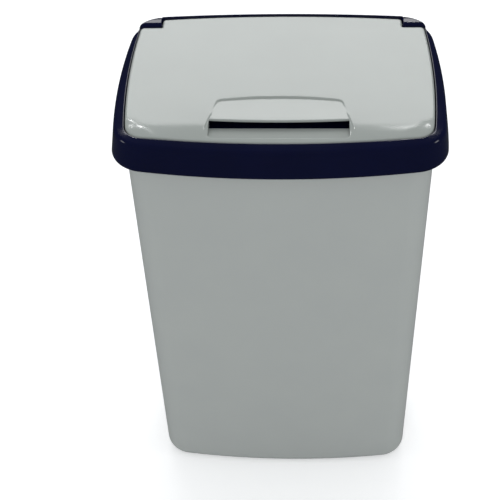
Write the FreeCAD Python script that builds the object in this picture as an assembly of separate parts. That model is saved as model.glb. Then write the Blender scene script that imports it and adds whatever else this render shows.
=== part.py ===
import FreeCAD, Part
import math
import os

from FreeCAD import Vector

# Flip-lid waste bin: a tapered bucket, a surround that clips over its rim, and a lid hinged in
# the surround's back corners. Millimetres. Origin at the middle of the base, +Z up, front at -Y.

# Overall
HEIGHT = 660.0
WALL = 2.5

# Surround, seen from above: width at the front corners, across the middle and at the back corners
CREASE_FRONT = 370.0
CREASE_MIDDLE = 379.0
CREASE_BACK = 354.5
CREASE_DEPTH = 250.4
CREASE_Z = 654.0
SKIRT_FLARE = 5.3
SKIRT_BOTTOM_Z = 618.5
POCKET_GAP = 1.5
BEVEL_RISE = 1.8
BEVEL_WIDTH = 11.0
LEDGE_Z = 641.5
BACK_WALL = 2.6
THROAT_LIP = 10.0
THROAT_LIP_END_Y = 85.0

# Lid
LID_FRONT = 344.0
LID_MIDDLE = 355.5
LID_BACK = 341.0
LID_DEPTH = 231.4
LID_SHIFT = 5.6
LID_BACK_Z = 658.9
LID_TILT = 0.004
LID_EDGE_RADIUS = 2.0
ROLL_START_Y = -78.0
ROLL_DROP = 2.9
LID_FOOT_FRONT_Z = 642.3
LID_FOOT_BACK_Z = 646.5

# Hinge
HINGE_Y = CREASE_DEPTH / 2 - 17.5
KNUCKLE_RADIUS = 7.5
HINGE_Z = HEIGHT - KNUCKLE_RADIUS
TONGUE_HALF = 146.0
HINGE_GAP = 1.3
NOTCH_GAP = 1.5
PIN_RADIUS = 3.0
RUNNING_FIT = 0.05
BOSS_RADIUS = 4.8
BOSS_LENGTH = 24.0
PIN_HEAD_RADIUS = 4.5
PIN_HEAD_LENGTH = 2.0
PIN_REACH = 15.0

# Finger grip
SLOT_HALF = 79.0
SLOT_FRONT_Y = LID_SHIFT - LID_DEPTH / 2 + 8.5
SLOT_RADIUS = 6.0
HOOD_LIP_Y = SLOT_FRONT_Y + 27.0
HOOD_BACK_Y = HOOD_LIP_Y + 41.5
HOOD_BACK_HALF = 72.0
HOOD_BOW = 6.0
HOOD_RADIUS = 8.0
HOOD_BACK_DROP = 2.2
HOOD_LIP_RISE = 1.5
HOOD_LIP_BOW = 3.0
RAMP_REACH = 23.0
RAMP_DROP = 5.0
RAMP_THICKNESS = 2.0

# Bucket
BUCKET_TOP_Z = LEDGE_Z - WALL - 0.3
BUCKET_TOP = 360.0
BUCKET_TOP_DEPTH = 239.4
BUCKET_BASE = 354.5
BUCKET_BASE_DEPTH = 176.0
BASE_RADIUS = 19.0
FOOT_HEIGHT = 4.0
FOOT_WIDTH = 14.0
RIM_WIDTH = 4.6
RIM_DEPTH = 10.0


class Outline:
    """A rounded rectangle with bowed sides: eight arcs, each tangent to the next."""

    def __init__(self, front, middle, back, depth, bow_front, bow_back, r_front, r_back, shift=0.0):
        low, high = shift - depth / 2, shift + depth / 2
        corner_f = (front / 2, low + bow_front)
        corner_b = (back / 2, high - bow_back)
        front_c = circle_through((-corner_f[0], corner_f[1]), (0, low), corner_f)
        back_c = circle_through((-corner_b[0], corner_b[1]), (0, high), corner_b)
        side_c = circle_through(corner_f, (middle / 2, shift), corner_b)
        round_f = rounding(front_c, side_c, r_front, corner_f)
        round_b = rounding(back_c, side_c, r_back, corner_b)
        ring = [front_c, round_f, side_c, round_b, back_c]
        turns = [angle(ring[i], ring[i + 1], i) for i in range(4)]
        right = list(zip(ring[1:4], turns[0:3], turns[1:4]))
        left = [((-x, y, r), 180 - b, 180 - a) for (x, y, r), a, b in reversed(right)]
        front_arc = (front_c, 180 - turns[0] + 360, turns[0] + 360)
        back_arc = (back_c, turns[3], 180 - turns[3])
        self.arcs = [front_arc] + right + [back_arc] + left

    def wire(self, z, grow=0.0):
        edges = []
        for (x, y, radius), start, end in self.arcs:
            if start > end:
                start -= 360
            edges.append(Part.makeCircle(radius + grow, Vector(x, y, z), Vector(0, 0, 1), start, end))
        return Part.Wire(edges)

    def prism(self, z_low, z_high, grow=0.0):
        return Part.Face(self.wire(z_low, grow)).extrude(Vector(0, 0, z_high - z_low))


def circle_through(p, q, r):
    """Centre x, centre y and radius of the circle through three points."""
    circle = Part.Circle(Vector(*p, 0), Vector(*q, 0), Vector(*r, 0))
    return circle.Center.x, circle.Center.y, circle.Radius


def rounding(a, b, radius, near):
    """The circle of this radius that touches circles a and b from inside, nearest a corner."""
    ra, rb = a[2] - radius, b[2] - radius
    dx, dy = b[0] - a[0], b[1] - a[1]
    gap = math.hypot(dx, dy)
    along = (ra * ra - rb * rb + gap * gap) / (2 * gap)
    across = math.sqrt(ra * ra - along * along)
    points = []
    for side in (1, -1):
        x = a[0] + (along * dx - side * across * dy) / gap
        y = a[1] + (along * dy + side * across * dx) / gap
        points.append((math.hypot(x - near[0], y - near[1]), x, y))
    nearest = min(points)
    return nearest[1], nearest[2], radius


def angle(a, b, step):
    """Direction in degrees of the point where two tangent arcs meet."""
    big, small = (a, b) if step % 2 == 0 else (b, a)
    return math.degrees(math.atan2(small[1] - big[1], small[0] - big[0]))


def loft(*wires):
    return Part.makeLoft(list(wires), True, True)


def box(low, high):
    size = [high[i] - low[i] for i in range(3)]
    return Part.makeBox(*size, Vector(*low))


def rod(radius, x_low, x_high):
    """A cylinder along X on the hinge line."""
    return Part.makeCylinder(radius, x_high - x_low, Vector(x_low, HINGE_Y, HINGE_Z), Vector(1, 0, 0))


def side_plate(points, x_low, x_high):
    """A plate whose outline is given as (y, z) points, from x_low to x_high."""
    corners = [Vector(x_low, y, z) for y, z in points]
    return Part.Face(Part.makePolygon(corners + corners[:1])).extrude(Vector(x_high - x_low, 0, 0))


def both_sides(shape):
    return shape.fuse(shape.mirror(Vector(0, 0, 0), Vector(1, 0, 0)))


crease = Outline(CREASE_FRONT, CREASE_MIDDLE, CREASE_BACK, CREASE_DEPTH, 17.0, 8.0, 37.0, 42.0)
lid_plan = Outline(LID_FRONT, LID_MIDDLE, LID_BACK, LID_DEPTH, 12.0, 9.0, 21.0, 16.0, LID_SHIFT)
throat = Outline(288.0, 294.0, 286.0, 175.5, 8.0, 5.0, 30.0, 14.0, 29.75)
bucket_top = Outline(BUCKET_TOP - 11.0, BUCKET_TOP, BUCKET_TOP - 18.0, BUCKET_TOP_DEPTH,
                     17.0, 8.5, 36.0, 38.0)
bucket_base = Outline(BUCKET_BASE - 8.0, BUCKET_BASE, BUCKET_BASE - 12.0, BUCKET_BASE_DEPTH,
                      13.0, 7.0, 36.0, 36.0)


def lid_height(y):
    """Height of the lid's top: a slight tilt, then a roll down at the front."""
    roll_length = ROLL_START_Y - (LID_SHIFT - LID_DEPTH / 2)
    into_roll = max(0.0, ROLL_START_Y - y) / roll_length
    return LID_BACK_Z - LID_TILT * (HINGE_Y - y) - ROLL_DROP * into_roll ** 2


def below_lid(drop):
    """Everything under the lid's top, lowered by drop."""
    along = (140, ROLL_START_Y, -95, -118)
    back, roll, middle, front = [Vector(-200, y, lid_height(y) - drop) for y in along]
    edges = [Part.makeLine(back, roll), Part.Arc(roll, middle, front).toShape()]
    edges += Part.makePolygon([front, Vector(-200, front.y, 560), Vector(-200, 140, 560), back]).Edges
    return Part.Face(Part.Wire(edges)).extrude(Vector(400, 0, 0))


def make_bucket():
    outer = loft(bucket_base.wire(0), bucket_top.wire(BUCKET_TOP_Z))
    base_edges = [e for e in outer.Edges if e.BoundBox.ZMax < 0.1]
    outer = outer.makeFillet(BASE_RADIUS, base_edges)
    floor_z = FOOT_HEIGHT + WALL
    inside = loft(bucket_base.wire(0, -WALL), bucket_top.wire(BUCKET_TOP_Z, -WALL))
    inside = inside.cut(box((-250, -250, -1), (250, 250, floor_z)))
    floor_edges = [e for e in inside.Edges if e.BoundBox.ZMax < floor_z + 0.1]
    inside = inside.makeFillet(BASE_RADIUS - WALL, floor_edges)
    recess = bucket_base.prism(-1, FOOT_HEIGHT, -BASE_RADIUS - FOOT_WIDTH)
    rim_low = BUCKET_TOP_Z - RIM_DEPTH
    rim = bucket_top.prism(rim_low, BUCKET_TOP_Z, RIM_WIDTH)
    rim = rim.cut(bucket_top.prism(rim_low, BUCKET_TOP_Z - WALL, RIM_WIDTH - WALL))
    rim = rim.cut(bucket_top.prism(rim_low, BUCKET_TOP_Z, -WALL / 2))
    return outer.fuse(rim).cut(inside).cut(recess)


def lid_well(z_low, z_high, grow):
    """The lid's outline as a prism, less the two back corners where the knuckles stand."""
    front = HINGE_Y - KNUCKLE_RADIUS
    corner = box((TONGUE_HALF + HINGE_GAP, front, z_low - 1), (250, 200, z_high + 1))
    return lid_plan.prism(z_low, z_high, grow).cut(both_sides(corner))


def make_skirt():
    """Flared skirt, crease and bevel, hollow underneath, with the well's wall inside."""
    bevel_z = CREASE_Z + BEVEL_RISE
    outer = loft(crease.wire(SKIRT_BOTTOM_Z, SKIRT_FLARE), crease.wire(CREASE_Z))
    outer = outer.fuse(loft(crease.wire(CREASE_Z), crease.wire(bevel_z, -BEVEL_WIDTH)))
    hollow = loft(crease.wire(SKIRT_BOTTOM_Z, SKIRT_FLARE - WALL), crease.wire(CREASE_Z - WALL, -WALL))
    well_wall = lid_well(LEDGE_Z - WALL, bevel_z, POCKET_GAP + WALL).common(outer)
    return outer.cut(hollow).fuse(well_wall).cut(lid_well(LEDGE_Z, HEIGHT, POCKET_GAP))


def make_centring_ribs():
    """Short upright ribs inside the skirt's ends that centre the surround on the bucket's rim."""
    ring = crease.prism(SKIRT_BOTTOM_Z + 10, CREASE_Z - WALL, -1.0)
    ring = ring.cut(bucket_top.prism(SKIRT_BOTTOM_Z, CREASE_Z, RIM_WIDTH + 0.5))
    return [ring.common(box((-200, y - 1, 600), (200, y + 1, HEIGHT))) for y in (-60, 0, 60)]


def make_knuckles():
    """Low back wall and the two raised knuckles that carry the hinge pins."""
    base_z = CREASE_Z - 4
    footprint = crease.prism(base_z, HEIGHT)
    wall = footprint.cut(crease.prism(base_z, HEIGHT, -BACK_WALL))
    wall = wall.common(box((-250, HINGE_Y, 0), (250, 250, HEIGHT)))
    x_low, front = TONGUE_HALF + HINGE_GAP, HINGE_Y - KNUCKLE_RADIUS
    knuckle = rod(KNUCKLE_RADIUS, x_low, 200).fuse(box((x_low, HINGE_Y, base_z), (200, 150, HEIGHT)))
    knuckle = knuckle.fuse(box((x_low, front, base_z), (200, HINGE_Y, HINGE_Z)))
    foot = both_sides(box((x_low - 1, front - 1, LEDGE_Z - 1), (200, 150, base_z + 1)))
    foot = foot.common(crease.prism(LEDGE_Z - 1, base_z + 1, -1.0))
    return wall.fuse([both_sides(knuckle).common(footprint), foot])


def make_rim_frame():
    ledge = lid_plan.prism(LEDGE_Z - WALL, LEDGE_Z, POCKET_GAP + WALL)
    ledge = ledge.common(crease.prism(LEDGE_Z - WALL, LEDGE_Z, -1.0))
    lip = throat.prism(LEDGE_Z - THROAT_LIP, LEDGE_Z, WALL)
    lip = lip.common(box((-200, -200, 0), (200, THROAT_LIP_END_Y, 700)))
    frame = make_skirt().fuse([ledge, lip, make_knuckles()] + make_centring_ribs())
    frame = frame.cut(throat.prism(0, HEIGHT))
    swing = rod(LID_SHIFT + LID_DEPTH / 2 - HINGE_Y + 2.4, -TONGUE_HALF - 1, TONGUE_HALF + 1)
    swing = swing.common(crease.prism(0, HEIGHT, -BACK_WALL))
    holes = both_sides(rod(PIN_RADIUS, TONGUE_HALF, 200))
    head_seat = both_sides(rod(PIN_HEAD_RADIUS, pin_head_x(), 200))
    return frame.cut(swing).cut(holes).cut(head_seat).removeSplitter()


def pin_head_x():
    return TONGUE_HALF + HINGE_GAP + PIN_REACH


def make_hood(top):
    """Finger hood: its back sinks below the lid's top and its lip stands proud of the roll."""
    back = Vector(-HOOD_BACK_HALF, HOOD_BACK_Y - HOOD_BOW, 0)
    lip = Vector(-SLOT_HALF - 1.8, HOOD_LIP_Y, 0)
    crown = Part.Arc(back, Vector(0, HOOD_BACK_Y, 0), Vector(-back.x, back.y, 0)).toShape()
    nose = Part.Arc(Vector(-lip.x, lip.y, 0), Vector(0, lip.y - HOOD_LIP_BOW, 0), lip).toShape()
    right_side = Part.makeLine(Vector(-back.x, back.y, 0), Vector(-lip.x, lip.y, 0))
    plan = Part.Face(Part.Wire([crown, right_side, nose, Part.makeLine(lip, back)]))
    plan.translate(Vector(0, 0, LEDGE_Z))
    prism = plan.extrude(Vector(0, 0, 40))
    corners = [e for e in prism.Edges if e.Length > 39 and e.BoundBox.YMin > HOOD_LIP_Y + 5]
    prism = prism.makeFillet(HOOD_RADIUS, corners)
    back_z = lid_height(HOOD_BACK_Y) - HOOD_BACK_DROP
    lip_z = lid_height(HOOD_LIP_Y) + HOOD_LIP_RISE
    slope = (lip_z - back_z) / (HOOD_LIP_Y - HOOD_BACK_Y)
    ends = [(y, back_z + slope * (y - HOOD_BACK_Y)) for y in (HOOD_BACK_Y + 20, HOOD_LIP_Y - 20)]
    under = [(y, 560) for y, _ in reversed(ends)]
    below = side_plate(ends + under, -100, 100)
    inner = below.translated(Vector(0, 0, -WALL))
    hollow = Part.Face(plan.OuterWire.makeOffset2D(-WALL)).extrude(Vector(0, 0, 40))
    open_front = box((-SLOT_HALF + 2, SLOT_FRONT_Y + 10, LEDGE_Z), (SLOT_HALF - 2, HOOD_LIP_Y + 5, HEIGHT))
    hollow = hollow.fuse(open_front)
    hood = prism.common(below).cut(top).cut(hollow.common(inner))
    return prism, hood


def make_scoop():
    """Ramp under the slot that leads the fingers in below the hood, and the cheeks at its ends."""
    front_z = lid_height(SLOT_FRONT_Y) - 1.0
    ramp_end = SLOT_FRONT_Y + RAMP_REACH
    low_z = front_z - RAMP_DROP
    nose = (SLOT_FRONT_Y - 2, front_z - 1)
    under = (SLOT_FRONT_Y + 2, front_z - 1.4 * RAMP_THICKNESS)
    toe = (ramp_end, low_z - RAMP_THICKNESS)
    ramp = side_plate([nose, (SLOT_FRONT_Y, front_z), (ramp_end, low_z), toe, under],
                      -SLOT_HALF - 2, SLOT_HALF + 2)
    cheek_back = HOOD_LIP_Y + 4
    cheek = side_plate([nose, (cheek_back, lid_height(cheek_back) - 1.2), (cheek_back, toe[1]), toe, under],
                       SLOT_HALF, SLOT_HALF + 2.5)
    return [ramp, both_sides(cheek)]


def make_lid():
    top, under = below_lid(0), below_lid(WALL)
    notch_y = HINGE_Y - KNUCKLE_RADIUS - NOTCH_GAP
    notch = both_sides(box((TONGUE_HALF, notch_y, 0), (250, 200, 700)))
    plan = lid_plan.prism(600, 700).cut(notch)
    upright = [e for e in plan.Edges if abs(e.Length - 100) < 0.1]
    corners = [e for e in upright if abs(e.BoundBox.XMin) > 150 and e.BoundBox.YMin > notch_y - 0.1]
    plan = plan.makeFillet(5.0, corners)
    section = plan.slice(Vector(0, 0, 1), 650)[0]
    inner_face = Part.Face(section.makeOffset2D(-WALL))
    inner_plan = inner_face.extrude(Vector(0, 0, 60))
    inner_plan.translate(Vector(0, 0, -30))
    foot_line = [(-150, LID_FOOT_FRONT_Z - 0.9), (150, LID_FOOT_BACK_Z + 0.6)]
    foot = side_plate(foot_line + [(150, 500), (-150, 500)], -250, 250)
    shell = plan.common(top)
    rim = [e for e in shell.Edges if e.BoundBox.ZMin > LID_FOOT_FRONT_Z and e.BoundBox.ZLength < 15]
    shell = shell.makeFillet(LID_EDGE_RADIUS, rim)
    shell = shell.cut(inner_plan.common(under)).cut(foot)
    hood_prism, hood = make_hood(below_lid(4.5))
    slot = box((-SLOT_HALF, SLOT_FRONT_Y, LEDGE_Z), (SLOT_HALF, HOOD_LIP_Y, HEIGHT + 20))
    slot_corners = [e for e in slot.Edges if e.BoundBox.ZLength > 10 and e.BoundBox.YMax < SLOT_FRONT_Y + 1]
    slot = slot.makeFillet(SLOT_RADIUS, slot_corners)
    lid = shell.cut(hood_prism).fuse(hood).cut(slot)
    boss = rod(BOSS_RADIUS, TONGUE_HALF - BOSS_LENGTH, TONGUE_HALF)
    web = box((TONGUE_HALF - BOSS_LENGTH, HINGE_Y - 2, HINGE_Z), (TONGUE_HALF, HINGE_Y + 2, HINGE_Z + 4))
    lid = lid.fuse(make_scoop() + [both_sides(boss.fuse(web))])
    bore = both_sides(rod(PIN_RADIUS + RUNNING_FIT, TONGUE_HALF - BOSS_LENGTH - 1, TONGUE_HALF + 1))
    return lid.cut(bore).removeSplitter()


def make_pin():
    inner_x = TONGUE_HALF - BOSS_LENGTH + 2
    shank = rod(PIN_RADIUS, inner_x, pin_head_x())
    tip = [e for e in shank.Edges if e.BoundBox.XMax < inner_x + 0.1]
    head = rod(PIN_HEAD_RADIUS, pin_head_x(), pin_head_x() + PIN_HEAD_LENGTH)
    return shank.makeChamfer(0.8, tip).fuse(head)


def main():
    os.makedirs("parts", exist_ok=True)
    pin = make_pin()
    pieces = {
        "bucket": make_bucket(),
        "rim_frame": make_rim_frame(),
        "lid": make_lid(),
        "hinge_pin_right": pin,
        "hinge_pin_left": pin.mirror(Vector(0, 0, 0), Vector(1, 0, 0)),
    }
    for name, shape in pieces.items():
        solids = shape.Solids
        print(name, "solids", len(solids), "valid", shape.isValid(), "cm3", round(shape.Volume / 1000, 1),
              shape.BoundBox)
        solids[0].exportStep("parts/" + name + ".step")


main()
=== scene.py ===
import math

import bmesh
import bpy
import numpy as np
from mathutils import Matrix, Vector
from mathutils.geometry import delaunay_2d_cdt


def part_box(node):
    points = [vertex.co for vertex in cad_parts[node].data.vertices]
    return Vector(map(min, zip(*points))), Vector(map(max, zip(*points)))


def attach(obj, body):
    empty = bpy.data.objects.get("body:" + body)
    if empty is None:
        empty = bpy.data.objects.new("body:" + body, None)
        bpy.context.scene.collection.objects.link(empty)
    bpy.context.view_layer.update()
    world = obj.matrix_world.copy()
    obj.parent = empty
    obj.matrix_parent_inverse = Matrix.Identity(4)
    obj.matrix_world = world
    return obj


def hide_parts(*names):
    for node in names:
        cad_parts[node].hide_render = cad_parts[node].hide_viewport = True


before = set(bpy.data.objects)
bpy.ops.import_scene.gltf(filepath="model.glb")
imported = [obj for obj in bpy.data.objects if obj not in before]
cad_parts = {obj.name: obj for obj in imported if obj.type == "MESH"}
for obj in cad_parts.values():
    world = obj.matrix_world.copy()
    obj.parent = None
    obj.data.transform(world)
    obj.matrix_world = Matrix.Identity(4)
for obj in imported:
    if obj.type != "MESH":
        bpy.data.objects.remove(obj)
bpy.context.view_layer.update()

# Flip-lid waste bin: bucket, clip-over surround and hinged lid, all injection moulded.
# Lengths here are millimetres until a mesh is made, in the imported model's frame.
MM = 0.001


def size_of(node):
    """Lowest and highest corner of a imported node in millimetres."""
    return [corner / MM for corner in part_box(node)]


surround_low, surround_high = size_of("rim_frame")
lid_low, lid_high = size_of("lid")
bucket_high = size_of("bucket")[1]
pin_low, pin_high = size_of("hinge_pin_right")

WALL = 2.5

# Surround
SKIRT_FLARE = 5.3
SKIRT_BOTTOM_Z = surround_low.z
KNUCKLE_TOP_Z = surround_high.z
CREASE_DEPTH = surround_high.y - surround_low.y - 2 * SKIRT_FLARE
CREASE_FRONT = 370.0
CREASE_MIDDLE = 379.0
CREASE_BACK = 354.5
CREASE_Z = SKIRT_BOTTOM_Z + 35.5
CREASE_ROUND = 4.0
BEVEL_Z = CREASE_Z + 1.8
BEVEL_WIDTH = 11.0
WELL_GAP = 1.5
LEDGE_Z = KNUCKLE_TOP_Z - 18.5
LIP_DEPTH = 10.0
BACK_WALL = 2.6
# Where, going back, the bevel turns into the back wall, the throat's lip ends and the well meets the skirt
BACK_TURN = (103.0, 109.0)
LIP_END = (72.0, 85.0)
WELL_MERGE = (38.0, 60.0)
RIBS_IN_ROW = 3
RIB_PITCH = 55.0
RIB_THICKNESS = 2.0
RIB_LENGTH = 21.0
RIB_DROP = 14.0

# Hinge
HINGE_Y = (pin_low.y + pin_high.y) / 2
HINGE_Z = (pin_low.z + pin_high.z) / 2
KNUCKLE_RADIUS = KNUCKLE_TOP_Z - HINGE_Z
KNUCKLE_X = 147.3
KNUCKLE_EDGE = 1.6
PIN_BORE = 3.05
HEAD_BORE = 4.6
HEAD_SEAT_X = pin_high.x - 2.0
BOSS_RADIUS = 4.8
BOSS_LENGTH = 24.0

# Lid
LID_SHIFT = (lid_low.y + lid_high.y) / 2
LID_DEPTH = lid_high.y - lid_low.y
LID_FRONT = 344.0
LID_MIDDLE = 355.5
LID_BACK = 341.0
LID_TOP_Z = KNUCKLE_TOP_Z - 1.1
LID_TILT = 0.004
LID_CROWN = 0.5
LID_EDGE_RADIUS = 2.2
ROLL_START_Y = lid_low.y + 32.0
ROLL_DROP = 2.9
CORNER_FALL = 2.4
LID_FOOT_FRONT_Z = lid_low.z
LID_FOOT_BACK_Z = LID_FOOT_FRONT_Z + 3.6
TONGUE_HALF = 146.0
NOTCH_Y = HINGE_Y - KNUCKLE_RADIUS - 1.5

# Finger grip
SLOT_HALF = 79.0
SLOT_FRONT_Y = lid_low.y + 8.5
SLOT_RADIUS = 6.0
SLOT_RIM = 1.7
HOOD_LIP_Y = SLOT_FRONT_Y + 27.0
HOOD_LIP_BOW = 3.0
HOOD_LIP_RISE = 1.5
HOOD_BACK_Y = HOOD_LIP_Y + 41.5
HOOD_BACK_HALF = 72.0
HOOD_BOW = 6.0
HOOD_CORNER = 5.0
HOOD_BACK_DROP = 2.2
HOOD_STEP = 2.6
RAMP_REACH = 23.0
RAMP_DROP = 5.0
CHEEK_BACK_Y = HOOD_LIP_Y + 4.0

# Bucket
BUCKET_TOP_Z = bucket_high.z
BUCKET_TOP = 360.0
BUCKET_TOP_DEPTH = 239.4
BUCKET_BASE = 354.5
BUCKET_BASE_DEPTH = 176.0
BASE_RADIUS = 19.0
FOOT_HEIGHT = 4.0
FOOT_WIDTH = 14.0
RIM_WIDTH = 4.6
RIM_DEPTH = 10.0


# ---------------------------------------------------------------- outlines

def circle_through(p, q, r):
    """Centre and radius of the circle through three points."""
    p, q, r = Vector(p), Vector(q), Vector(r)
    a, b = q - p, r - p
    cross = 2 * (a.x * b.y - a.y * b.x)
    centre = p + Vector((b.y * a.length_squared - a.y * b.length_squared,
                         a.x * b.length_squared - b.x * a.length_squared)) / cross
    return centre.x, centre.y, (centre - p).length


def rounding(a, b, radius, near):
    """The circle of this radius that touches circles a and b from inside, nearest a corner."""
    ra, rb = a[2] - radius, b[2] - radius
    dx, dy = b[0] - a[0], b[1] - a[1]
    gap = math.hypot(dx, dy)
    along = (ra * ra - rb * rb + gap * gap) / (2 * gap)
    across = math.sqrt(ra * ra - along * along)
    points = []
    for side in (1, -1):
        x = a[0] + (along * dx - side * across * dy) / gap
        y = a[1] + (along * dy + side * across * dx) / gap
        points.append((math.hypot(x - near[0], y - near[1]), x, y))
    return min(points)[1:] + (radius,)


class Outline:
    """A rounded rectangle with bowed sides: eight arcs, each tangent to the next."""

    STEPS = (56, 18, 36, 18, 56, 18, 36, 18)

    def __init__(self, front, middle, back, depth, bow_front, bow_back, r_front, r_back, shift=0.0):
        low, high = shift - depth / 2, shift + depth / 2
        corner_f = (front / 2, low + bow_front)
        corner_b = (back / 2, high - bow_back)
        front_c = circle_through((-corner_f[0], corner_f[1]), (0, low), corner_f)
        back_c = circle_through((-corner_b[0], corner_b[1]), (0, high), corner_b)
        side_c = circle_through(corner_f, (middle / 2, shift), corner_b)
        round_f = rounding(front_c, side_c, r_front, corner_f)
        round_b = rounding(back_c, side_c, r_back, corner_b)
        meets = [self.angle(*pair) for pair in
                 ((front_c, round_f), (side_c, round_f), (side_c, round_b), (back_c, round_b))]
        right = [(round_f, meets[0], meets[1]), (side_c, meets[1], meets[2]), (round_b, meets[2], meets[3])]
        left = [((-x, y, r), 180 - b, 180 - a) for (x, y, r), a, b in reversed(right)]
        self.arcs = [(front_c, -180 - meets[0], meets[0])] + right
        self.arcs += [(back_c, meets[3], 180 - meets[3])] + left

    @staticmethod
    def angle(big, small):
        """Direction in degrees of the point where a small arc touches a big one."""
        return math.degrees(math.atan2(small[1] - big[1], small[0] - big[0]))

    def ring(self, grow=0.0):
        """Points round the outline, offset outwards, the same count for every outline."""
        points = []
        for ((x, y, radius), start, end), steps in zip(self.arcs, self.STEPS):
            for i in range(steps):
                turn = math.radians(start + (end - start) * i / steps)
                reach = radius + grow
                points.append(Vector((x + reach * math.cos(turn), y + reach * math.sin(turn))))
        return points


crease = Outline(CREASE_FRONT, CREASE_MIDDLE, CREASE_BACK, CREASE_DEPTH, 17.0, 8.0, 37.0, 42.0)
lid_plan = Outline(LID_FRONT, LID_MIDDLE, LID_BACK, LID_DEPTH, 12.0, 9.0, 21.0, 16.0, LID_SHIFT)
throat = Outline(288.0, 294.0, 286.0, 175.5, 8.0, 5.0, 30.0, 14.0, 29.75)
bucket_top = Outline(BUCKET_TOP - 11, BUCKET_TOP, BUCKET_TOP - 18, BUCKET_TOP_DEPTH, 17.0, 8.5, 36.0, 38.0)
bucket_base = Outline(BUCKET_BASE - 8, BUCKET_BASE, BUCKET_BASE - 12, BUCKET_BASE_DEPTH,
                      13.0, 7.0, 36.0, 36.0)


def crossing(ring, axis, value):
    """The points where a ring passes a given x (axis 0) or y (axis 1)."""
    found = []
    for a, b in zip(ring, ring[1:] + ring[:1]):
        if a[axis] != b[axis] and (a[axis] - value) * (b[axis] - value) <= 0:
            found.append(a.lerp(b, (value - a[axis]) / (b[axis] - a[axis])))
    return found


def smooth_step(low, high, value):
    """Eases from 0 at low to 1 at high."""
    t = min(1.0, max(0.0, (value - low) / (high - low)))
    return t * t * (3 - 2 * t)


def arc(centre, radius, start, end, steps):
    """Points on an arc in degrees, both ends included."""
    turns = [math.radians(start + (end - start) * i / steps) for i in range(steps + 1)]
    return [(centre[0] + radius * math.cos(t), centre[1] + radius * math.sin(t)) for t in turns]


def bend(a, corner, b, steps):
    """A soft corner from a to b that turns at corner, ends included."""
    a, corner, b = Vector(a), Vector(corner), Vector(b)
    times = [i / steps for i in range(steps + 1)]
    return [a * (1 - t) ** 2 + corner * 2 * t * (1 - t) + b * t * t for t in times]


def rounded_loop(points, radii, step=4.0):
    """A closed loop with some of its corners rounded and its long edges divided."""
    soft = []
    count = len(points)
    for i, p in enumerate(points):
        p = Vector(p)
        radius = radii.get(i)
        if radius is None:
            soft.append(p)
            continue
        before = (Vector(points[i - 1]) - p).normalized()
        after = (Vector(points[(i + 1) % count]) - p).normalized()
        soft += bend(p + before * radius, p, p + after * radius, 8)
    loop = []
    for a, b in zip(soft, soft[1:] + soft[:1]):
        pieces = max(1, math.ceil((b - a).length / step))
        loop += [a.lerp(b, k / pieces) for k in range(pieces)]
    return loop


def inset(loop, distance):
    """The anticlockwise loop moved inwards by distance, or outwards where that is negative."""
    moved = []
    for before, p, after in zip(loop[-1:] + loop[:-1], loop, loop[1:] + loop[:1]):
        along = (after - before).normalized()
        moved.append(p + Vector((-along.y, along.x)) * distance)
    return moved


def inside(points, loop):
    """For each point, whether it lies inside the loop."""
    points = np.array(points, float)
    odd = np.zeros(len(points), bool)
    for a, b in zip(loop, loop[1:] + loop[:1]):
        if a.y == b.y:
            continue
        spans = (points[:, 1] > min(a.y, b.y)) & (points[:, 1] <= max(a.y, b.y))
        cross_x = a.x + (points[:, 1] - a.y) * (b.x - a.x) / (b.y - a.y)
        odd ^= spans & (points[:, 0] < cross_x)
    return odd


def grid(low, high, spacing):
    """Evenly spaced points over a rectangle."""
    across = max(1, round((high[0] - low[0]) / spacing))
    along = max(1, round((high[1] - low[1]) / spacing))
    xs = [low[0] + (high[0] - low[0]) * i / across for i in range(across + 1)]
    ys = [low[1] + (high[1] - low[1]) * j / along for j in range(along + 1)]
    return [(x, y) for y in ys for x in xs]


# ---------------------------------------------------------------- mesh building

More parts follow.
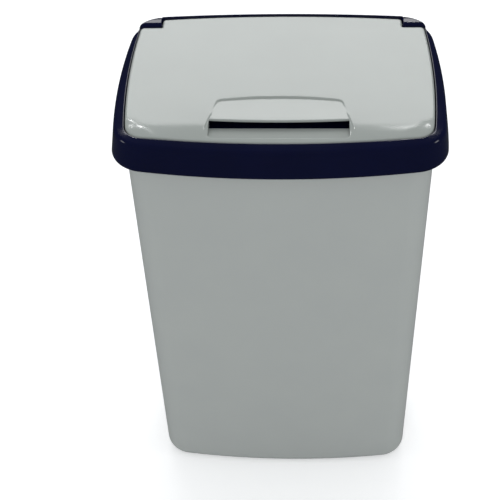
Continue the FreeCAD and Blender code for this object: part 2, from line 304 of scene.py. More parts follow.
class Shell:
    """A closed skin, built up from rings, bands and sheets in millimetres."""

    def __init__(self):
        self.points = []
        self.faces = []

    def ring(self, points):
        first = len(self.points)
        self.points += [tuple(p) for p in points]
        return list(range(first, len(self.points)))

    def band(self, a, b):
        for i in range(len(a)):
            j = (i + 1) % len(a)
            self.faces.append((a[i], a[j], b[j], b[i]))

    def bands(self, rings, closed=False):
        for a, b in zip(rings, rings[1:] + (rings[:1] if closed else [])):
            self.band(a, b)

    def sheet(self, border, holes, inner, height):
        """Spans the border ring, less the hole rings, with a sheet of the given height."""
        flat = lambda ring: [Vector(self.points[i][:2]) for i in ring]
        keep = inside(inner, inset(flat(border), 0.6))
        for hole in holes:
            keep &= ~inside(inner, inset(flat(hole), -0.6))
        chosen = [p for p, kept in zip(inner, keep) if kept]
        index = [i for loop in [border] + holes for i in loop]
        edges = []
        for loop in [border] + holes:
            first = len(edges)
            edges += [(first + k, first + (k + 1) % len(loop)) for k in range(len(loop))]
        coords = [Vector(self.points[i][:2]) for i in index] + [Vector(p) for p in chosen]
        index += self.ring([(x, y, height(x, y)) for x, y in chosen])
        spots, _, faces, origin, _, _ = delaunay_2d_cdt(coords, edges, [], 1, 1e-5)
        known = {}
        for v, source in enumerate(origin):
            if not source:
                index += self.ring([(*spots[v], height(*spots[v]))])
                coords.append(spots[v])
            known[v] = source[0] if source else len(coords) - 1
        triangles = [[known[v] for v in face] for face in faces]
        middles = [sum((coords[v] for v in face), Vector((0, 0))) / 3 for face in triangles]
        solid = np.ones(len(triangles), bool)
        for hole in holes:
            solid &= ~inside([tuple(m) for m in middles], flat(hole))
        self.faces += [[index[v] for v in face] for face, kept in zip(triangles, solid) if kept]

    def mesh(self, name):
        """The skin as a mesh in metres, with its faces turned outwards."""
        made = bpy.data.meshes.new(name)
        made.from_pydata([(x * MM, y * MM, z * MM) for x, y, z in self.points], [], self.faces)
        work = bmesh.new()
        work.from_mesh(made)
        bmesh.ops.recalc_face_normals(work, faces=work.faces)
        if work.calc_volume(signed=True) < 0:
            bmesh.ops.reverse_faces(work, faces=work.faces)
        work.to_mesh(made)
        work.free()
        return made


def piece(name, meshes, material, body, sharp_above=32.0):
    """One shown object made of closed skins, smooth except along its sharp edges."""
    work = bmesh.new()
    for mesh in meshes:
        work.from_mesh(mesh)
    joined = bpy.data.meshes.new(name)
    work.to_mesh(joined)
    work.free()
    joined.polygons.foreach_set("use_smooth", [True] * len(joined.polygons))
    joined.set_sharp_from_angle(angle=math.radians(sharp_above))
    joined.materials.append(material)
    made = bpy.data.objects.new(name, joined)
    bpy.context.scene.collection.objects.link(made)
    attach(made, body)
    return made


def rod(radius, x_low, x_high, bore=0.0, steps=40):
    """A rod along the hinge line, or a tube where it has a bore."""
    shell = Shell()
    circle = lambda r, x: shell.ring(
        [(x, HINGE_Y + u, HINGE_Z + v) for u, v in arc((0, 0), r, 0, 360, steps)[:-1]])
    outside = [circle(radius, x_low), circle(radius, x_high)]
    if bore:
        shell.bands(outside + [circle(bore, x_high), circle(bore, x_low)], closed=True)
    else:
        shell.bands(outside)
        shell.faces += outside
    return shell.mesh("rod")


def slab(low, high):
    """A plain web between two corners, buried in the pieces it joins."""
    shell = Shell()
    corners = [(low[0], low[1]), (high[0], low[1]), (high[0], high[1]), (low[0], high[1])]
    ends = [shell.ring([(x, y, z) for x, y in corners]) for z in (low[2], high[2])]
    shell.bands(ends)
    shell.faces += ends
    return shell.mesh("web")


def less(mesh, cutters, folded=False):
    """The mesh with round holes cut through it; folded where its own corners overlap."""
    block = bpy.data.objects.new("block", mesh)
    bpy.context.scene.collection.objects.link(block)
    tools = []
    for cutter in cutters:
        tool = bpy.data.objects.new("cutter", cutter)
        bpy.context.scene.collection.objects.link(tool)
        cut = block.modifiers.new("bore", "BOOLEAN")
        cut.operation = "DIFFERENCE"
        cut.solver = "EXACT"
        cut.use_self = folded
        cut.object = tool
        tools.append(tool)
    evaluated = block.evaluated_get(bpy.context.evaluated_depsgraph_get())
    bored = bpy.data.meshes.new_from_object(evaluated)
    for spare in tools + [block]:
        bpy.data.objects.remove(spare)
    return bored


# ---------------------------------------------------------------- bucket

def bucket_skin():
    """Tapered wall with a big rounded foot, a recessed floor and a turned-over rim."""
    shell = Shell()

    def ring(grow, z):
        t = z / BUCKET_TOP_Z
        pairs = zip(bucket_base.ring(grow), bucket_top.ring(grow))
        return shell.ring([(*low.lerp(high, t), z) for low, high in pairs])

    recess = -BASE_RADIUS - FOOT_WIDTH
    floor_z = FOOT_HEIGHT + WALL
    inner_round = BASE_RADIUS - WALL
    lip_z = BUCKET_TOP_Z - RIM_DEPTH
    top = BUCKET_TOP_Z
    foot = [(recess, FOOT_HEIGHT), (recess, 0.8), (recess + 0.8, 0)]
    foot += arc((-BASE_RADIUS, BASE_RADIUS), BASE_RADIUS, -90, 0, 12)
    wall = [(0, BASE_RADIUS + (lip_z - BASE_RADIUS) * k / 24) for k in range(1, 25)]
    turned = [(0, top - WALL - 1.2), (0.6, top - WALL - 0.3), (RIM_WIDTH - WALL, top - WALL - 0.3)]
    turned += [(RIM_WIDTH - WALL, lip_z + 0.5), (RIM_WIDTH - WALL + 0.5, lip_z)]
    turned += [(RIM_WIDTH - 0.5, lip_z), (RIM_WIDTH, lip_z + 0.5)]
    turned += arc((RIM_WIDTH - 2.2, top - 2.2), 2.2, 0, 90, 6)
    turned += arc((-1.3, top - 1.2), 1.2, 90, 180, 4)
    lining = [(-WALL, top - 5 - (top - 5 - floor_z - inner_round) * k / 24) for k in range(25)]
    lining += arc((-WALL - inner_round, floor_z + inner_round), inner_round, 0, -90, 12)[1:]
    rings = [ring(grow, z) for grow, z in foot + wall + turned + lining]
    shell.bands(rings)
    shell.faces += [rings[0], rings[-1]]
    return shell.mesh("bucket")


# ---------------------------------------------------------------- surround

def held_in(points, border):
    """The points, with any that fall outside the border moved to its nearest corner point."""
    kept = inside([tuple(p) for p in points], border)
    return [p if ok else min(border, key=lambda q: (q - p).length) for p, ok in zip(points, kept)]


def surround_skin():
    """Flared skirt, soft crease and bevel, the lid's well, the ledge and the throat's lip."""
    shell = Shell()
    plan = crease.ring()
    border = crease.ring(-1.3)
    fine = [a.lerp(b, t / 8) for a, b in zip(border, border[1:] + border[:1]) for t in range(8)]
    well = lambda grow: held_in(lid_plan.ring(grow), fine)
    # Along the back the bevel gives way to a thin upright wall behind the lid's tongue
    upright = [smooth_step(*BACK_TURN, p.y) for p in plan]
    sunk = [3.2 * smooth_step(KNUCKLE_X, KNUCKLE_X + 2, abs(p.x)) for p in plan]
    # The throat's lip stops short of the back, and the well's wall meets the skirt in the back corners
    no_lip = [smooth_step(*LIP_END, p.y) for p in plan]
    merged = [smooth_step(*WELL_MERGE, p.y) for p in plan]
    mouth_round = 0.35
    room = [(a - b).length for a, b in zip(plan, well(WELL_GAP + mouth_round))]

    def ring(front, z, back=None, back_z=None, shares=None):
        points = []
        for i, p in enumerate(front):
            share = shares[i] if shares else 0.0
            target = back[i] if back else p
            points.append((*p.lerp(target, share), z + ((z if back_z is None else back_z) - z) * share))
        rings.append(shell.ring(points))

    def wall_ring(front, z, back_grow, back_z):
        """A ring that turns into the upright back wall, sunk where the knuckles cover it."""
        first = len(shell.points)
        ring(front, z, crease.ring(back_grow), back_z, upright)
        for i, share in enumerate(upright):
            x, y, height = shell.points[first + i]
            shell.points[first + i] = (x, y, height - sunk[i] * share)

    rings = []
    edge = WALL / 2
    hem_z = SKIRT_BOTTOM_Z + edge
    straight_top = CREASE_Z - CREASE_ROUND
    flare = lambda z: SKIRT_FLARE * (CREASE_Z - z) / (CREASE_Z - SKIRT_BOTTOM_Z)
    for grow, z in arc((flare(hem_z) - edge, hem_z), edge, -180, 0, 6):
        ring(crease.ring(grow), z)
    for k in range(1, 9):
        z = hem_z + (straight_top - hem_z) * k / 8
        ring(crease.ring(flare(z)), z)

    bevel_slope = (BEVEL_Z - CREASE_Z) / BEVEL_WIDTH
    cap_z = KNUCKLE_TOP_Z - BACK_WALL / 2
    fold = bend((flare(straight_top), straight_top), (0, CREASE_Z),
                (-CREASE_ROUND, CREASE_Z + CREASE_ROUND * bevel_slope), 8)
    outward = [b - a for a, b in zip(plan, crease.ring(1.0))]
    for k, (grow, z) in enumerate(fold[1:]):
        rise = (k + 1) / 8
        reach = [grow if grow > 0 else grow * min(1.0, 0.45 * space / CREASE_ROUND) for space in room]
        front = [p + out * r for p, out, r in zip(plan, outward, reach)]
        wall_ring(front, z, flare(straight_top) * (1 - rise), straight_top + (cap_z - straight_top) * rise)

    # One ring just outside the mouth keeps the bevel flat up to its small rounded edge
    mouth = [(WELL_GAP + 0.95 + mouth_round, BEVEL_Z - 0.95 * bevel_slope)]
    mouth += arc((WELL_GAP + mouth_round, BEVEL_Z - mouth_round), mouth_round, 90, 180, 5)
    coping = arc((-BACK_WALL / 2, cap_z), BACK_WALL / 2, 15, 180, 6)
    for (grow, z), (back_grow, back_z) in zip(mouth, coping):
        wall_ring(well(grow), z, back_grow, back_z)
    foot = arc((WELL_GAP - 1.5, LEDGE_Z + 1.5), 1.5, 0, -90, 4)
    for grow, z in foot:
        ring(well(grow), z, crease.ring(grow - WELL_GAP - BACK_WALL), z, upright)

    tip_z = LEDGE_Z - LIP_DEPTH + edge
    under = LEDGE_Z - WALL
    for grow, z in arc((1.0, LEDGE_Z - 1.0), 1.0, 90, 180, 4):
        ring(throat.ring(grow), z)
    for k, (grow, z) in enumerate(arc((edge, tip_z), edge, -180, 0, 6)):
        ring(throat.ring(grow), z, throat.ring(grow), under + 0.5 - 0.05 * k, no_lip)
    ring(throat.ring(WALL), under - 0.4, throat.ring(WALL), under + 0.1, no_lip)
    ring(throat.ring(WALL + 0.6), under)
    outer = WELL_GAP + WALL
    ring(lid_plan.ring(outer), under, crease.ring(-0.9), under, merged)
    ring(lid_plan.ring(outer), CREASE_Z - WALL + 0.6, crease.ring(-0.8), under - 0.1, merged)
    ring(crease.ring(-WALL), CREASE_Z - WALL, crease.ring(-0.6), under - 0.3, merged)
    shell.bands(rings, closed=True)
    return shell.mesh("surround")


def knuckle_height(x, y):
    """Top of a knuckle: a round nose over the pin, easing down behind it."""
    ahead, past = max(0.0, HINGE_Y - y), max(0.0, y - HINGE_Y)
    return HINGE_Z + math.sqrt(max(0.0, KNUCKLE_RADIUS ** 2 - ahead ** 2)) - 0.005 * past ** 2


def knuckle_skin():
    """The right-hand knuckle, filling the surround's back corner and rounded along its edges."""
    front_y = HINGE_Y - KNUCKLE_RADIUS
    outer = crease.ring(0.05)
    front_x = max(p.x for p in crossing(outer, 1, front_y))
    back_y = max(p.y for p in crossing(outer, 0, KNUCKLE_X))
    wall = [p for p in outer if p.x > KNUCKLE_X + 4 and p.y > front_y + 6]
    corners = [(KNUCKLE_X, front_y), (front_x, front_y)] + wall + [(KNUCKLE_X, back_y)]
    loop = rounded_loop(corners, {0: 3.5, 1: 5.0, len(corners) - 1: 3.5}, step=1.2)
    shell = Shell()
    base = shell.ring([(*p, LEDGE_Z - 1.0) for p in loop])
    rings = [base]
    for k in range(7):
        turn = math.radians(90 * k / 6)
        moved = inset(loop, KNUCKLE_EDGE * (1 - math.cos(turn)))
        drop = KNUCKLE_EDGE * (1 - math.sin(turn))
        rings.append(shell.ring([(*p, knuckle_height(*p) - drop) for p in moved]))
    shell.bands(rings)
    shell.faces.append(base)
    inner = grid((KNUCKLE_X, front_y), (KNUCKLE_X + 34, front_y + 22), 0.7)
    shell.sheet(rings[-1], [], inner, knuckle_height)
    return shell.mesh("knuckle")


def mirrored(mesh):
    """The mesh on the bin's other side, with its faces still turned outwards."""
    twin = mesh.copy()
    twin.transform(Matrix.Scale(-1, 4, (1, 0, 0)))
    twin.flip_normals()
    return twin


def rib_tree(material):
    """Upright ribs in two rows, one row along each end of the surround."""
    tree = bpy.data.node_groups.new("centring_ribs", "GeometryNodeTree")
    tree.is_modifier = True
    sockets = {"Reach": 0.0, "Row height": 0.0, "Pitch": 0.06, "Rib depth": 0.004, "Rib thickness": 0.002,
               "Rib length": 0.02}
    for name, value in sockets.items():
        made = tree.interface.new_socket(name, in_out="INPUT", socket_type="NodeSocketFloat")
        made.default_value = value
    count = tree.interface.new_socket("Ribs in a row", in_out="INPUT", socket_type="NodeSocketInt")
    count.default_value = 3
    tree.interface.new_socket("Geometry", in_out="OUTPUT", socket_type="NodeSocketGeometry")
    given = add(tree, "NodeGroupInput").outputs
    size = add(tree, "ShaderNodeCombineXYZ", {0: given["Rib depth"], 1: given["Rib thickness"],
                                              2: given["Rib length"]})
    rib = add(tree, "GeometryNodeMeshCube", {"Size": size.outputs[0], "Vertices X": 3, "Vertices Y": 3,
                                             "Vertices Z": 9})
    half = add(tree, "ShaderNodeMath", {0: given["Ribs in a row"], 1: -0.5, 2: 0.5}, operation="MULTIPLY_ADD")
    first_y = add(tree, "ShaderNodeMath", {0: given["Pitch"], 1: half.outputs[0]}, operation="MULTIPLY")
    step = add(tree, "ShaderNodeCombineXYZ", {1: given["Pitch"]})
    rows = add(tree, "GeometryNodeJoinGeometry")
    for side in (1.0, -1.0):
        x = add(tree, "ShaderNodeMath", {0: given["Reach"], 1: side}, operation="MULTIPLY")
        start = add(tree, "ShaderNodeCombineXYZ", {0: x.outputs[0], 1: first_y.outputs[0],
                                                   2: given["Row height"]})
        row = add(tree, "GeometryNodeMeshLine", {"Count": given["Ribs in a row"],
                                                 "Start Location": start.outputs[0],
                                                 "Offset": step.outputs[0]})
        placed = add(tree, "GeometryNodeInstanceOnPoints", {"Points": row.outputs[0],
                                                            "Instance": rib.outputs["Mesh"]})
        tree.links.new(placed.outputs[0], rows.inputs[0])
    real = add(tree, "GeometryNodeRealizeInstances", {0: rows.outputs[0]})
    painted = add(tree, "GeometryNodeSetMaterial", {"Geometry": real.outputs[0], "Material": material})
    add(tree, "NodeGroupOutput", {0: painted.outputs[0]})
    return tree


def grown(name, tree, values):
    """Runs a geometry tree with its named inputs set and returns the plain mesh it makes."""
    host = bpy.data.objects.new(name, bpy.data.meshes.new(name))
    bpy.context.scene.collection.objects.link(host)
    maker = host.modifiers.new(name, "NODES")
    maker.node_group = tree
    for item in tree.interface.items_tree:
        if item.in_out == "INPUT" and item.name in values:
            maker[item.identifier] = values[item.name]
    result = bpy.data.meshes.new_from_object(host.evaluated_get(bpy.context.evaluated_depsgraph_get()))
    host.modifiers.remove(maker)
    bpy.data.objects.remove(host)
    return result


# ---------------------------------------------------------------- lid

def corner_fall(x, y):
    """How much further the panel rolls down at its two front corners."""
    beside, ahead = abs(x) - (LID_MIDDLE / 2 - 38.0), lid_low.y + 40.0 - y
    if min(beside, ahead) <= 0:
        return 0.0
    flat_reach, roll_width = 15.0, 24.0
    beyond = max(0.0, math.hypot(beside, ahead) - flat_reach) / roll_width
    return CORNER_FALL * beyond ** 2 * smooth_step(0.0, 12.0, beside) * smooth_step(0.0, 12.0, ahead)


def lid_height(x, y):
    """Top of the panel without its grip: a slight tilt and crown, then a roll down at the front."""
    roll = max(0.0, ROLL_START_Y - y) / (ROLL_START_Y - lid_low.y)
    crown = LID_CROWN * (1 - min(1.0, (2 * x / LID_MIDDLE) ** 2)) * smooth_step(lid_low.y, -20.0, y)
    crown *= 1 - smooth_step(60.0, lid_high.y, y)
    level = LID_TOP_Z - LID_TILT * (HINGE_Y - y) + crown
    return level - ROLL_DROP * roll ** 2 - corner_fall(x, y)


def inside_hood(x, y):
    """How far a point lies inside the hood's plan, which is open at the lip; negative outside."""
    spread = (SLOT_HALF + 1.8 - HOOD_BACK_HALF) / (HOOD_BACK_Y - HOOD_BOW - HOOD_LIP_Y)
    half = HOOD_BACK_HALF + spread * (HOOD_BACK_Y - HOOD_BOW - y)
    from_back = HOOD_BACK_Y - HOOD_BOW * (x / HOOD_BACK_HALF) ** 2 - y
    from_side = (half - abs(x)) / math.hypot(1, spread)
    if min(from_back, from_side) > HOOD_CORNER or max(from_back, from_side) > HOOD_CORNER:
        return min(from_back, from_side)
    return HOOD_CORNER - math.hypot(HOOD_CORNER - from_back, HOOD_CORNER - from_side)


def panel_height(x, y):
    """Top of the lid with its finger hood, sunk at the back and standing proud at the lip."""
    plain = lid_height(x, y)
    if y > HOOD_BACK_Y + HOOD_STEP or y < SLOT_FRONT_Y or abs(x) > SLOT_HALF + 8:
        return plain
    back_z = lid_height(0, HOOD_BACK_Y) - HOOD_BACK_DROP
    lip_z = lid_height(0, HOOD_LIP_Y) + HOOD_LIP_RISE
    hood_z = back_z + (lip_z - back_z) * (HOOD_BACK_Y - y) / (HOOD_BACK_Y - HOOD_LIP_Y)
    share = smooth_step(-HOOD_STEP * 0.2, HOOD_STEP * 0.8, inside_hood(x, y))
    share *= smooth_step(SLOT_FRONT_Y + 10, HOOD_LIP_Y - 4, y)
    return plain + (hood_z - plain) * share


def lid_outline():
    """Plan of the lid with its two back corners cut out round the knuckles."""
    ring = lid_plan.ring()
    middle = next(i for i, p in enumerate(ring) if p.x < 0 and p.y > NOTCH_Y)
    below = NOTCH_Y - 6.0
    right = [p for p in ring[:middle] if p.y < below]
    left = [p for p in ring[middle:] if p.y < below]
    tongue = [p for p in ring if p.y > NOTCH_Y and abs(p.x) < TONGUE_HALF - 5.0]
    edge_x = max(p.x for p in crossing(ring, 1, NOTCH_Y))
    tail_y = max(p.y for p in crossing(ring, 0, TONGUE_HALF))
    turn = [(edge_x, NOTCH_Y), (TONGUE_HALF, NOTCH_Y), (TONGUE_HALF, tail_y)]
    turn_back = [(-x, y) for x, y in reversed(turn)]
    first, second = len(right), len(right) + 3 + len(tongue)
    radii = {first: 5.5, first + 1: 2.0, first + 2: 4.5, second: 4.5, second + 1: 2.0, second + 2: 5.5}
    return rounded_loop(right + turn + tongue + turn_back + left, radii)


def slot_outline():
    """Plan of the finger slot: straight front, rounded front corners, bowed hood lip behind."""
    lip = [(x, HOOD_LIP_Y - HOOD_LIP_BOW * (1 - (x / SLOT_HALF) ** 2))
           for x in np.linspace(SLOT_HALF, -SLOT_HALF, 41)]
    corners = [(-SLOT_HALF, SLOT_FRONT_Y), (SLOT_HALF, SLOT_FRONT_Y)] + lip
    return rounded_loop(corners, {0: SLOT_RADIUS, 1: SLOT_RADIUS, 2: 0.8, len(corners) - 1: 0.8}, step=2.0)


def lid_skin():
    """The moulded panel: rounded edge, turned-down sides, hood, slot and hollow underside."""
    shell = Shell()
    outline, slot = lid_outline(), slot_outline()
    foot_z = lambda y: LID_FOOT_FRONT_Z + (LID_FOOT_BACK_Z - LID_FOOT_FRONT_Z) * (y - lid_low.y) / LID_DEPTH
    underside = lambda x, y: panel_height(x, y) - WALL

    def level(loop, moved, height):
        return shell.ring([(*p, height(*p)) for p in inset(loop, moved)])

    def fillet(loop, radius, sign):
        made = []
        for k in range(7):
            turn = math.radians(90 * k / 6)
            drop = radius * (1 - math.sin(turn))
            moved = sign * radius * (1 - math.cos(turn))
            made.append(level(loop, moved, lambda x, y: panel_height(x, y) - drop))
        return made

    foot_edge = 0.5
    side = [level(outline, WALL, underside),
            level(outline, WALL, lambda x, y: foot_z(y) + foot_edge),
            level(outline, WALL - foot_edge, lambda x, y: foot_z(y)),
            level(outline, foot_edge, lambda x, y: foot_z(y)),
            level(outline, 0, lambda x, y: foot_z(y) + foot_edge)]
    side += fillet(outline, LID_EDGE_RADIUS, 1)
    shell.bands(side)
    rim = [level(slot, 0, underside)] + fillet(slot, SLOT_RIM, -1)
    shell.bands(rim)
    grip = grid((-SLOT_HALF - 7, SLOT_FRONT_Y - 3), (SLOT_HALF + 7, HOOD_BACK_Y + 5), 0.8)
    around = [p for p in grid((-180, lid_low.y), (180, lid_high.y), 3.6)
              if abs(p[0]) > SLOT_HALF + 8 or not SLOT_FRONT_Y - 4 < p[1] < HOOD_BACK_Y + 6]
    shell.sheet(side[-1], [rim[-1]], grip + around, panel_height)
    coarse = grid((-180, lid_low.y), (180, lid_high.y), 3.0)
    shell.sheet(side[0], [rim[0]], coarse, underside)
    return shell.mesh("lid")


def ramp_height(y):
    """Top of the ramp that leads the fingers in below the hood."""
    start = lid_height(0, SLOT_FRONT_Y) - SLOT_RIM - 0.2
    return start - RAMP_DROP * min(1.0, max(0.0, (y - SLOT_FRONT_Y) / RAMP_REACH))


def scoop_path(grow):
    """Plan of the scoop's wall: down one side, round the front and back up the other."""
    half, radius = SLOT_HALF + grow, SLOT_RADIUS + grow
    front = SLOT_FRONT_Y - grow
    drops = np.linspace(CHEEK_BACK_Y, front + radius, 9)
    path = [(-half, y) for y in drops]
    path += arc((-half + radius, front + radius), radius, 180, 270, 8)[1:]
    path += [(x, front) for x in np.linspace(-half + radius, half - radius, 30)[1:-1]]
    path += arc((half - radius, front + radius), radius, 270, 360, 8)
    path += [(half, y) for y in reversed(drops[:-1])]
    return path


def scoop_skins():
    """Cheeks and front of the scoop as one bent wall, and the ramp across it."""
    wall = Shell()
    near, far = scoop_path(0.05), scoop_path(WALL)
    top = lambda y: lid_height(0, y) - 0.8 * WALL
    bottom = lambda y: ramp_height(y) - 2.0
    rails = [[(x, y, top(y)) for x, y in near], [(x, y, top(y)) for x, y in far],
             [(x, y, bottom(y)) for x, y in far], [(x, y, bottom(y)) for x, y in near]]
    sections = [wall.ring(section) for section in zip(*rails)]
    wall.bands(sections)
    wall.faces += [sections[0], sections[-1]]

    ramp = Shell()
    end_y = SLOT_FRONT_Y + RAMP_REACH
    rows = []
    for k in range(25):
        y = SLOT_FRONT_Y + (end_y - SLOT_FRONT_Y) * (k / 24) ** 1.6
        ahead = max(0.0, SLOT_FRONT_Y + SLOT_RADIUS - y)
        half = SLOT_HALF + 0.6 - SLOT_RADIUS + math.sqrt(max(0.0, SLOT_RADIUS ** 2 - ahead ** 2))
        rows.append((y, half))
    rails = [(end_y + 0.7, -1.0)] + [(y, 0.0) for y, _ in reversed(rows)]
    rails += [(y, -2.0) for y, _ in rows]
    widths = [rows[-1][1]] + [half for _, half in reversed(rows)] + [half for _, half in rows]
    across = np.linspace(-1, 1, 41)
    columns = [ramp.ring([(u * w, y, ramp_height(y) + z) for (y, z), w in zip(rails, widths)])
               for u in across]
    ramp.bands(columns)
    ramp.faces += [columns[0], columns[-1]]
    return [wall.mesh("scoop"), ramp.mesh("ramp")]


def hinge_boss_skins():
    """Bored boss on the right of the lid's tongue and the web that ties it to the panel."""
    inner_x = TONGUE_HALF - BOSS_LENGTH
    boss = rod(BOSS_RADIUS, inner_x, TONGUE_HALF - 0.1, bore=PIN_BORE)
    web = slab((inner_x + 0.2, HINGE_Y - 2, HINGE_Z + PIN_BORE + 0.3),
               (TONGUE_HALF - 0.3, HINGE_Y + 2, LID_TOP_Z - 1.5))
    return [boss, web]


# ---------------------------------------------------------------- materials

def add(tree, kind, inputs=None, **settings):
    """Adds a node, sets its properties, and fills or links its inputs."""
    made = tree.nodes.new(kind)
    for name, value in settings.items():
        setattr(made, name, value)
    for name, value in (inputs or {}).items():
        if isinstance(value, bpy.types.NodeSocket):
            tree.links.new(value, made.inputs[name])
        else:
            made.inputs[name].default_value = value
    return made


def colour(code):
    """An sRGB hex colour as linear red, green, blue and alpha."""
    parts = [int(code[i:i + 2], 16) / 255 for i in (1, 3, 5)]
    return (*[p / 12.92 if p <= 0.04045 else ((p + 0.055) / 1.055) ** 2.4 for p in parts], 1.0)


def per_mm(size):
    """Noise scale whose features are this many millimetres across."""
    return 1 / (size * MM)


def grey_bucket_plastic():
    """Polypropylene, injection moulded against a finely spark-eroded tool: satin, soft broad highlights. Its
    grey is set lighter than the lid's copy of the same plastic, as painted light on the upright walls.
    """
    return satin("polypropylene_spark_grain_grey_with_painted_light", ("#B8BCB8", "#B5B9B6"), (0.42, 0.50),
                 grain_mm=1.1, grain_depth_mm=0.030, ripple_mm=90.0, ripple_depth_mm=0.10)


def grey_lid_plastic():
    """Polypropylene, moulded against a smoother tool, with a livelier sheen: the bucket's plastic, its grey
    set darker as painted shade on the top-facing lid.
    """
    return satin("polypropylene_fine_moulded_grey_with_painted_shade", ("#A0A5A1", "#9DA29E"), (0.13, 0.17),
                 grain_mm=0.9, grain_depth_mm=0.004, ripple_mm=70.0, ripple_depth_mm=0.04)


def navy_surround_plastic():
    """Polypropylene, moulded against a polished tool: deep navy with sharp window-like highlights."""
    return satin("polypropylene_polished_moulded_navy", ("#0A0E2E", "#080B25"), (0.10, 0.15),
                 grain_mm=2.4, grain_depth_mm=0.004, ripple_mm=45.0, ripple_depth_mm=0.05)


def navy_pin_plastic():
    """Acetal, moulded and slightly waxy: navy with a plain satin shine."""
    return satin("acetal_moulded_navy", ("#101433", "#0C0F29"), (0.28, 0.36),
                 grain_mm=0.6, grain_depth_mm=0.006, ripple_mm=12.0, ripple_depth_mm=0.01)


def satin(name, tones, sheen, grain_mm, grain_depth_mm, ripple_mm, ripple_depth_mm):
    """A moulded plastic: two close tones in a slow mottle, uneven shine, mould grain and a slow ripple.

    The grain is drawn coarser than the real tool's, so that it shows at this size.
    """
    made = bpy.data.materials.new(name)
    made.use_nodes = True
    tree = made.node_tree
    tree.nodes.clear()
    place = add(tree, "ShaderNodeTexCoord").outputs["Object"]
    mottle = add(tree, "ShaderNodeTexNoise", {"Vector": place, "Scale": per_mm(70.0), "Detail": 3.0})
    tone = add(tree, "ShaderNodeValToRGB", {"Fac": mottle.outputs["Fac"]})
    for stop, place_on, code in zip(tone.color_ramp.elements, (0.2, 0.8), tones):
        stop.position = place_on
        stop.color = colour(code)
    haze = add(tree, "ShaderNodeTexNoise", {"Vector": place, "Scale": per_mm(26.0), "Detail": 4.0,
                                            "Roughness": 0.6})
    shine = add(tree, "ShaderNodeMapRange", {"Value": haze.outputs["Fac"], "From Min": 0.3, "From Max": 0.7,
                                             "To Min": sheen[0], "To Max": sheen[1]})
    ripple = add(tree, "ShaderNodeTexNoise", {"Vector": place, "Scale": per_mm(ripple_mm), "Detail": 1.0})
    slow = add(tree, "ShaderNodeBump", {"Height": ripple.outputs["Fac"], "Strength": 1.0,
                                        "Distance": ripple_depth_mm * MM})
    grain = add(tree, "ShaderNodeTexNoise", {"Vector": place, "Scale": per_mm(grain_mm), "Detail": 2.0,
                                             "Roughness": 0.55})
    fine = add(tree, "ShaderNodeBump", {"Height": grain.outputs["Fac"], "Strength": 1.0,
                                        "Distance": grain_depth_mm * MM, "Normal": slow.outputs["Normal"]})
    skin = add(tree, "ShaderNodeBsdfPrincipled", {"Base Color": tone.outputs["Color"], "Metallic": 0.0,
                                                  "Roughness": shine.outputs["Result"], "IOR": 1.49,
                                                  "Normal": fine.outputs["Normal"]})
    add(tree, "ShaderNodeOutputMaterial", {"Surface": skin.outputs["BSDF"]})
    return made


# ---------------------------------------------------------------- assembly

def build_bin():
    grey = grey_bucket_plastic()
    bucket = piece("bucket_shell", [bucket_skin()], grey, "bin")
    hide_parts("bucket")

    navy = navy_surround_plastic()
    bores = [rod(PIN_BORE, KNUCKLE_X - 8, HEAD_SEAT_X + 6), rod(HEAD_BORE, HEAD_SEAT_X, 205.0)]
    knuckle = less(knuckle_skin(), bores)
    both_bores = [rod(HEAD_BORE, HEAD_SEAT_X, 205.0), rod(HEAD_BORE, -205.0, -HEAD_SEAT_X)]
    frame_skin = less(surround_skin(), both_bores, folded=True)
    knuckles = [knuckle, mirrored(knuckle)]
    surround = piece("surround_shell", [frame_skin] + knuckles, navy, "surround")
    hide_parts("rim_frame")

    rim_half = BUCKET_TOP / 2 + RIM_WIDTH + 0.5
    skirt_half = min(max(p.x for p in crossing(crease.ring(), 1, y)) for y in (-RIB_PITCH, RIB_PITCH))
    rib_depth = skirt_half - 0.3 * WALL - rim_half
    ribs = grown("ribs", rib_tree(navy), {
        "Reach": (rim_half + rib_depth / 2) * MM, "Row height": (CREASE_Z - RIB_DROP) * MM,
        "Pitch": RIB_PITCH * MM, "Rib depth": rib_depth * MM, "Rib thickness": RIB_THICKNESS * MM,
        "Rib length": RIB_LENGTH * MM, "Ribs in a row": RIBS_IN_ROW})
    piece("surround_centring_ribs", [ribs], navy, "surround")

    bosses = hinge_boss_skins()
    lid_meshes = [lid_skin()] + scoop_skins() + bosses + [mirrored(b) for b in bosses]
    lid = piece("lid_panel", lid_meshes, grey_lid_plastic(), "lid")
    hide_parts("lid")

    pin_plastic = navy_pin_plastic()
    for name in ("hinge_pin_left", "hinge_pin_right"):
        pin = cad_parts[name]
        if not pin.material_slots:
            pin.data.materials.append(None)
        for held in pin.material_slots:
            held.material = pin_plastic


# ---------------------------------------------------------------- studio

FLOOR_LIFT = 0.32


def softbox(name, place, aim, width, height, power, mirrored_in_gloss=True):
    """A rectangular soft light facing a point, all in metres; it never blocks the view."""
    lamp = bpy.data.lights.new(name, "AREA")
    lamp.shape = "RECTANGLE"
    lamp.size = width
    lamp.size_y = height
    lamp.energy = power
    made = bpy.data.objects.new(name, lamp)
    made.location = place
    made.rotation_mode = "QUATERNION"
    made.rotation_quaternion = (Vector(aim) - Vector(place)).to_track_quat("-Z", "Y")
    made.visible_camera = False
    made.visible_glossy = mirrored_in_gloss
    bpy.context.scene.collection.objects.link(made)


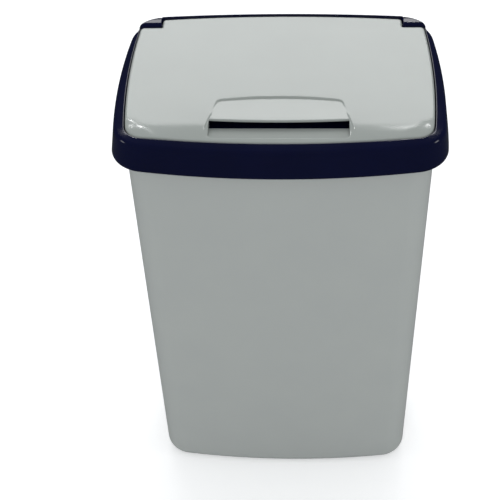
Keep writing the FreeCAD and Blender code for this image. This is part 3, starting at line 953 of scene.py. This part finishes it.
def white_floor_paint():
    """Matt white paint, lifted a little towards white as on a lit sweep."""
    paint = bpy.data.materials.new("floor_paint_matt_white")
    paint.use_nodes = True
    tree = paint.node_tree
    tree.nodes.clear()
    seen = add(tree, "ShaderNodeLightPath").outputs["Is Camera Ray"]
    lift = add(tree, "ShaderNodeMath", {0: seen, 1: FLOOR_LIFT}, operation="MULTIPLY")
    skin = add(tree, "ShaderNodeBsdfPrincipled", {"Base Color": colour("#F4F4F4"), "Roughness": 0.9,
                                                  "Emission Color": colour("#FFFFFF"),
                                                  "Emission Strength": lift.outputs[0]})
    add(tree, "ShaderNodeOutputMaterial", {"Surface": skin.outputs["BSDF"]})
    return paint


def build_studio():
    """White floor, pale surroundings, soft lights all round and small crisp ones for the corners."""
    floor_mesh = bpy.data.meshes.new("floor")
    reach = 6.0
    floor_mesh.from_pydata([(-reach, -reach, 0), (reach, -reach, 0), (reach, reach, 0), (-reach, reach, 0)],
                           [], [(0, 1, 2, 3)])
    floor = bpy.data.objects.new("floor", floor_mesh)
    bpy.context.scene.collection.objects.link(floor)
    floor.visible_glossy = False
    floor_mesh.materials.append(white_floor_paint())

    world = bpy.data.worlds.new("studio")
    world.use_nodes = True
    bpy.context.scene.world = world
    tree = world.node_tree
    tree.nodes.clear()
    path = add(tree, "ShaderNodeLightPath")
    walls = add(tree, "ShaderNodeBackground", {"Color": colour("#F2F5F8"), "Strength": 0.66})
    dim = add(tree, "ShaderNodeBackground", {"Color": colour("#8E949A"), "Strength": 0.18})
    seen = add(tree, "ShaderNodeMixShader", {0: path.outputs["Is Glossy Ray"], 1: walls.outputs[0],
                                             2: dim.outputs[0]})
    add(tree, "ShaderNodeOutputWorld", {0: seen.outputs[0]})

    top = KNUCKLE_TOP_Z * MM
    softbox("overhead", (0.1, -0.2, 2.9), (0, 0, top), 2.4, 2.0, 4, mirrored_in_gloss=False)
    softbox("front", (0.0, -2.1, 2.5), (0, 0, top), 1.2, 0.8, 9, mirrored_in_gloss=False)
    softbox("behind", (-0.05, 2.0, 2.13), (0, 0, top), 1.45, 0.78, 14.5)
    softbox("left", (-2.4, -0.6, 1.2), (0, 0, top), 0.5, 0.9, 5)
    softbox("right", (2.4, -0.6, 1.2), (0, 0, top), 0.5, 0.9, 6)
    softbox("left_spot_outer", (-0.90, 1.50, 2.42), (0, 0, top), 0.12, 0.12, 1.8)
    softbox("left_spot_inner", (-0.64, 1.50, 2.52), (0, 0, top), 0.09, 0.12, 1.4)
    softbox("right_spot", (0.78, 1.50, 2.44), (0, 0, top), 0.12, 0.12, 1.8)
    softbox("right_strip", (0.37, 1.58, 2.44), (0, 0, top), 0.16, 0.035, 0.9)


def build_camera():
    """Viewing position a little right of the middle, looking down on the lid."""
    place = Vector((0.0347, -1.1621, 1.5860))
    down, turn, roll = 0.8074, -0.0676, 0.0440
    ahead = Vector((math.sin(turn) * math.cos(down), math.cos(turn) * math.cos(down), -math.sin(down)))
    level = Vector((math.cos(turn), -math.sin(turn), 0))
    upward = Vector((math.sin(turn) * math.sin(down), math.cos(turn) * math.sin(down), math.cos(down)))
    across = level * math.cos(roll) - upward * math.sin(roll)
    lifted = level * math.sin(roll) + upward * math.cos(roll)
    lens = bpy.data.cameras.new("camera")
    lens.sensor_width = 36.0
    lens.lens = 91.1
    lens.clip_start = 0.05
    lens.clip_end = 50.0
    camera = bpy.data.objects.new("camera", lens)
    facing = Matrix((across, lifted, -ahead)).transposed()
    camera.matrix_world = Matrix.Translation(place) @ facing.to_4x4()
    bpy.context.scene.collection.objects.link(camera)
    bpy.context.scene.camera = camera
    bpy.context.scene.view_settings.view_transform = "Standard"


build_bin()
build_studio()
build_camera()
